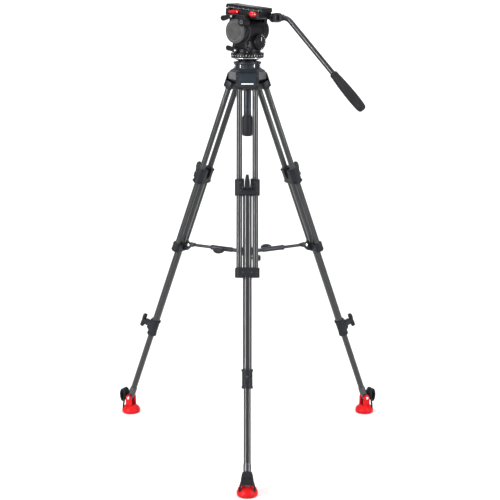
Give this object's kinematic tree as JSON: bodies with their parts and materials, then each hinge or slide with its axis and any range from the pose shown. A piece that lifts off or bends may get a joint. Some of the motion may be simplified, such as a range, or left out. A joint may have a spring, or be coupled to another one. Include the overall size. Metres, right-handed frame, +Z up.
{
  "type": "camera tripod with fluid head",
  "caption": "Two-stage carbon camera tripod with a mid-level spreader, red rubber feet and a fluid pan and tilt head with a pan bar.",
  "frame": {"origin": "on the floor, under the middle of the bounding box of the open tripod", "axes": "+Z up; the front leg points along -Y, the two rear legs spread to +X and -X"},
  "size_m": [0.887, 0.7766, 1.4199],
  "materials": {
    "carbon_tube": "clear-coated woven carbon fibre",
    "clamp_plastic": "fine moulded texture",
    "crown_metal": "painted casting, satin",
    "head_black": "black anodised and painted, satin",
    "side_grey": "grey textured paint",
    "foot_red": "red rubber, satin",
    "button_red": "red plastic, gloss",
    "bright_steel": "bright",
    "grip_rubber": "soft matt"
  },
  "bodies": {
    "crown": {"crown_casting": "crown_metal"},
    "front_leg": {"hinge_block_front": "crown_metal", "upper_tube_left_front": "carbon_tube", "upper_tube_right_front": "carbon_tube", "base_collar_front": "clamp_plastic"},
    "front_middle_stage": {"slide_clamp_front": "clamp_plastic", "middle_tube_front": "carbon_tube", "lower_clamp_front": "clamp_plastic"},
    "front_clamp_lever": {"clamp_lever_front": "clamp_plastic"},
    "front_clamp_knob": {"clamp_knob_front": "clamp_plastic"},
    "front_lower_stage": {"lower_tube_front": "carbon_tube"},
    "front_foot": {"rubber_foot_front": "foot_red"},
    "front_spreader_rod": {"spreader_rod_front": "bright_steel"},
    "front_spreader_sleeve": {"spreader_sleeve_front": "clamp_plastic"},
    "right_leg": {"hinge_block_right": "crown_metal", "upper_tube_left_right": "carbon_tube", "upper_tube_right_right": "carbon_tube", "base_collar_right": "clamp_plastic"},
    "right_middle_stage": {"slide_clamp_right": "clamp_plastic", "middle_tube_right": "carbon_tube", "lower_clamp_right": "clamp_plastic"},
    "right_clamp_lever": {"clamp_lever_right": "clamp_plastic"},
    "right_clamp_knob": {"clamp_knob_right": "clamp_plastic"},
    "right_lower_stage": {"lower_tube_right": "carbon_tube"},
    "right_foot": {"rubber_foot_right": "foot_red"},
    "right_spreader_rod": {"spreader_rod_right": "bright_steel"},
    "right_spreader_sleeve": {"spreader_sleeve_right": "clamp_plastic"},
    "left_leg": {"hinge_block_left": "crown_metal", "upper_tube_left_left": "carbon_tube", "upper_tube_right_left": "carbon_tube", "base_collar_left": "clamp_plastic"},
    "left_middle_stage": {"slide_clamp_left": "clamp_plastic", "middle_tube_left": "carbon_tube", "lower_clamp_left": "clamp_plastic"},
    "left_clamp_lever": {"clamp_lever_left": "clamp_plastic"},
    "left_clamp_knob": {"clamp_knob_left": "clamp_plastic"},
    "left_lower_stage": {"lower_tube_left": "carbon_tube"},
    "left_foot": {"rubber_foot_left": "foot_red"},
    "left_spreader_rod": {"spreader_rod_left": "bright_steel"},
    "left_spreader_sleeve": {"spreader_sleeve_left": "clamp_plastic"},
    "spreader_hub": {"spreader_hub": "clamp_plastic"},
    "levelling_ball": {"half_ball": "crown_metal", "pan_base": "head_black"},
    "tie_down": {"tie_down_handle": "clamp_plastic"},
    "drag_ring": {"pan_drag_ring": "head_black"},
    "pan_head": {"tilt_housing": "head_black"},
    "pan_lock": {"pan_lock_lever": "head_black"},
    "counterbalance": {"counterbalance_dial": "head_black"},
    "tilt_head": {"platform": "head_black", "side_cover": "side_grey"},
    "tilt_drag": {"tilt_drag_dial": "head_black"},
    "tilt_lock": {"tilt_lock_lever": "head_black"},
    "sliding_plate": {"camera_plate": "head_black"},
    "screw": {"camera_screw": "bright_steel"},
    "release_button": {"plate_release_button": "button_red"},
    "plate_lock": {"plate_lock_lever": "button_red"},
    "pan_arm": {"pan_bar_clamp": "head_black", "pan_bar": "carbon_tube", "pan_bar_grip": "grip_rubber"},
    "pan_arm_screw": {"pan_bar_screw": "head_black"}
  },
  "joints": [
    {"name": "front_leg_spread", "type": "hinge", "parent": "crown", "child": "front_leg", "pos_m": [0, 0.07791, 1.1937], "axis": [-1, 0, 0], "range_deg": [-16.5, 0]},
    {"name": "front_middle_slide", "type": "slide", "parent": "front_leg", "child": "front_middle_stage", "axis": [0, -0.3564, -0.9343], "range_m": [-0.25, 0.21]},
    {"name": "front_lower_slide", "type": "slide", "parent": "front_middle_stage", "child": "front_lower_stage", "axis": [0, -0.3564, -0.9343], "range_m": [-0.2, 0.16]},
    {"name": "front_clamp_lever_flip", "type": "hinge", "parent": "front_middle_stage", "child": "front_clamp_lever", "pos_m": [0, -0.06843, 0.87599], "axis": [1, 0, 0], "range_deg": [0, 105]},
    {"name": "front_clamp_knob_turn", "type": "hinge", "parent": "front_middle_stage", "child": "front_clamp_knob", "pos_m": [0, -0.28914, 0.3437], "axis": [0, -0.9343, 0.3564], "range_deg": [0, 180]},
    {"name": "front_foot_tilt", "type": "hinge", "parent": "front_lower_stage", "child": "front_foot", "pos_m": [0, -0.35673, 0.05429], "axis": [1, 0, 0], "range_deg": [-40, 40]},
    {"name": "front_spreader_rod_pivot", "type": "hinge", "parent": "front_leg", "child": "front_spreader_rod", "pos_m": [0, -0.10188, 0.63231], "axis": [-1, 0, 0], "range_deg": [-61.07, 0]},
    {"name": "front_spreader_sleeve_slide", "type": "slide", "parent": "front_spreader_rod", "child": "front_spreader_sleeve", "axis": [0, -1, 0], "range_m": [0, 0.065]},
    {"name": "right_leg_spread", "type": "hinge", "parent": "crown", "child": "right_leg", "pos_m": [0.03551, 0.13941, 1.1937], "axis": [0.5, -0.866, 0], "range_deg": [-16.5, 0]},
    {"name": "right_middle_slide", "type": "slide", "parent": "right_leg", "child": "right_middle_stage", "axis": [0.3087, 0.1782, -0.9343], "range_m": [-0.25, 0.21]},
    {"name": "right_lower_slide", "type": "slide", "parent": "right_middle_stage", "child": "right_lower_stage", "axis": [0.3087, 0.1782, -0.9343], "range_m": [-0.2, 0.16]},
    {"name": "right_clamp_lever_flip", "type": "hinge", "parent": "right_middle_stage", "child": "right_clamp_lever", "pos_m": [0.16225, 0.21258, 0.87599], "axis": [-0.5, 0.866, 0], "range_deg": [0, 105]},
    {"name": "right_clamp_knob_turn", "type": "hinge", "parent": "right_middle_stage", "child": "right_clamp_knob", "pos_m": [0.35339, 0.32294, 0.3437], "axis": [0.8092, 0.4672, 0.3564], "range_deg": [0, 180]},
    {"name": "right_foot_tilt", "type": "hinge", "parent": "right_lower_stage", "child": "right_foot", "pos_m": [0.41192, 0.35673, 0.05429], "axis": [-0.5, 0.866, 0], "range_deg": [-40, 40]},
    {"name": "right_spreader_rod_pivot", "type": "hinge", "parent": "right_leg", "child": "right_spreader_rod", "pos_m": [0.19121, 0.22931, 0.63231], "axis": [0.5, -0.866, 0], "range_deg": [-61.07, 0]},
    {"name": "right_spreader_sleeve_slide", "type": "slide", "parent": "right_spreader_rod", "child": "right_spreader_sleeve", "axis": [0.866, 0.5, 0], "range_m": [0, 0.065]},
    {"name": "left_leg_spread", "type": "hinge", "parent": "crown", "child": "left_leg", "pos_m": [-0.03551, 0.13941, 1.1937], "axis": [0.5, 0.866, 0], "range_deg": [-16.5, 0]},
    {"name": "left_middle_slide", "type": "slide", "parent": "left_leg", "child": "left_middle_stage", "axis": [-0.3087, 0.1782, -0.9343], "range_m": [-0.25, 0.21]},
    {"name": "left_lower_slide", "type": "slide", "parent": "left_middle_stage", "child": "left_lower_stage", "axis": [-0.3087, 0.1782, -0.9343], "range_m": [-0.2, 0.16]},
    {"name": "left_clamp_lever_flip", "type": "hinge", "parent": "left_middle_stage", "child": "left_clamp_lever", "pos_m": [-0.16225, 0.21258, 0.87599], "axis": [-0.5, -0.866, 0], "range_deg": [0, 105]},
    {"name": "left_clamp_knob_turn", "type": "hinge", "parent": "left_middle_stage", "child": "left_clamp_knob", "pos_m": [-0.35339, 0.32294, 0.3437], "axis": [-0.8092, 0.4672, 0.3564], "range_deg": [0, 180]},
    {"name": "left_foot_tilt", "type": "hinge", "parent": "left_lower_stage", "child": "left_foot", "pos_m": [-0.41192, 0.35673, 0.05429], "axis": [-0.5, -0.866, 0], "range_deg": [-40, 40]},
    {"name": "left_spreader_rod_pivot", "type": "hinge", "parent": "left_leg", "child": "left_spreader_rod", "pos_m": [-0.19121, 0.22931, 0.63231], "axis": [0.5, 0.866, 0], "range_deg": [-61.07, 0]},
    {"name": "left_spreader_sleeve_slide", "type": "slide", "parent": "left_spreader_rod", "child": "left_spreader_sleeve", "axis": [-0.866, 0.5, 0], "range_m": [0, 0.065]},
    {"name": "spreader_hub_rise", "type": "slide", "parent": "crown", "child": "spreader_hub", "axis": [0, 0, 1], "range_m": [0, 0.09881]},
    {"name": "bowl_levelling", "type": "hinge", "parent": "crown", "child": "levelling_ball", "pos_m": [0, 0.11891, 1.24], "axis": [-1, 0, 0], "range_deg": [-10, 10]},
    {"name": "tie_down_turn", "type": "hinge", "parent": "levelling_ball", "child": "tie_down", "pos_m": [0, 0.11891, 1.1], "axis": [0, 0, 1], "continuous": true},
    {"name": "pan_drag_turn", "type": "hinge", "parent": "levelling_ball", "child": "drag_ring", "pos_m": [0, 0.11891, 1.263], "axis": [0, 0, 1], "range_deg": [0, 150]},
    {"name": "pan", "type": "hinge", "parent": "levelling_ball", "child": "pan_head", "pos_m": [0, 0.11891, 1.27], "axis": [0, 0, 1], "continuous": true},
    {"name": "pan_lock_swing", "type": "hinge", "parent": "pan_head", "child": "pan_lock", "pos_m": [-0.0358, 0.08742, 1.278], "axis": [0.6293, 0.7771, 0], "range_deg": [-12, 30]},
    {"name": "counterbalance_turn", "type": "hinge", "parent": "pan_head", "child": "counterbalance", "pos_m": [0.04078, 0.09618, 1.303], "axis": [0.7771, -0.6293, 0], "range_deg": [0, 270]},
    {"name": "tilt", "type": "hinge", "parent": "pan_head", "child": "tilt_head", "pos_m": [0, 0.11891, 1.337], "axis": [0.6293, 0.7771, 0], "range_deg": [-75, 54]},
    {"name": "tilt_drag_turn", "type": "hinge", "parent": "tilt_head", "child": "tilt_drag", "pos_m": [-0.0166, 0.05257, 1.36536], "axis": [-0.6293, -0.7771, 0], "range_deg": [0, 270]},
    {"name": "tilt_lock_swing", "type": "hinge", "parent": "tilt_head", "child": "tilt_lock", "pos_m": [-0.04664, 0.0769, 1.38114], "axis": [-0.6293, -0.7771, 0], "range_deg": [-20, 15]},
    {"name": "camera_plate_slide", "type": "slide", "parent": "tilt_head", "child": "sliding_plate", "axis": [0.7736, -0.6264, -0.0958], "range_m": [-0.03, 0.03]},
    {"name": "camera_screw_turn", "type": "hinge", "parent": "sliding_plate", "child": "screw", "pos_m": [0.00469, 0.11511, 1.39971], "axis": [0.0745, -0.0603, 0.9954], "continuous": true},
    {"name": "release_button_press", "type": "slide", "parent": "tilt_head", "child": "release_button", "axis": [0.6293, 0.7771, 0], "range_m": [0, 0.003], "stiffness_N_per_m": 400},
    {"name": "plate_lock_swing", "type": "hinge", "parent": "tilt_head", "child": "plate_lock", "pos_m": [0.01437, 0.05838, 1.38952], "axis": [-0.6293, -0.7771, 0], "range_deg": [-25, 20]},
    {"name": "pan_bar_angle", "type": "hinge", "parent": "tilt_head", "child": "pan_arm", "pos_m": [0.09189, 0.09854, 1.37711], "axis": [-0.6293, -0.7771, 0], "range_deg": [-45, 60]},
    {"name": "pan_bar_screw_turn", "type": "hinge", "parent": "pan_arm", "child": "pan_arm_screw", "pos_m": [0.10511, 0.11486, 1.37711], "axis": [0.6293, 0.7771, 0], "range_deg": [0, 180]}
  ],
  "couplings": [
    {"joint": "front_spreader_rod_pivot", "follows": "front_leg_spread", "ratio": 3.701},
    {"joint": "front_spreader_sleeve_slide", "follows": "front_leg_spread", "m_per_rad": -0.22571},
    {"joint": "right_leg_spread", "follows": "front_leg_spread", "ratio": 1},
    {"joint": "right_spreader_rod_pivot", "follows": "front_leg_spread", "ratio": 3.701},
    {"joint": "right_spreader_sleeve_slide", "follows": "front_leg_spread", "m_per_rad": -0.22571},
    {"joint": "left_leg_spread", "follows": "front_leg_spread", "ratio": 1},
    {"joint": "left_spreader_rod_pivot", "follows": "front_leg_spread", "ratio": 3.701},
    {"joint": "left_spreader_sleeve_slide", "follows": "front_leg_spread", "m_per_rad": -0.22571},
    {"joint": "spreader_hub_rise", "follows": "front_leg_spread", "m_per_rad": -0.34309}
  ]
}
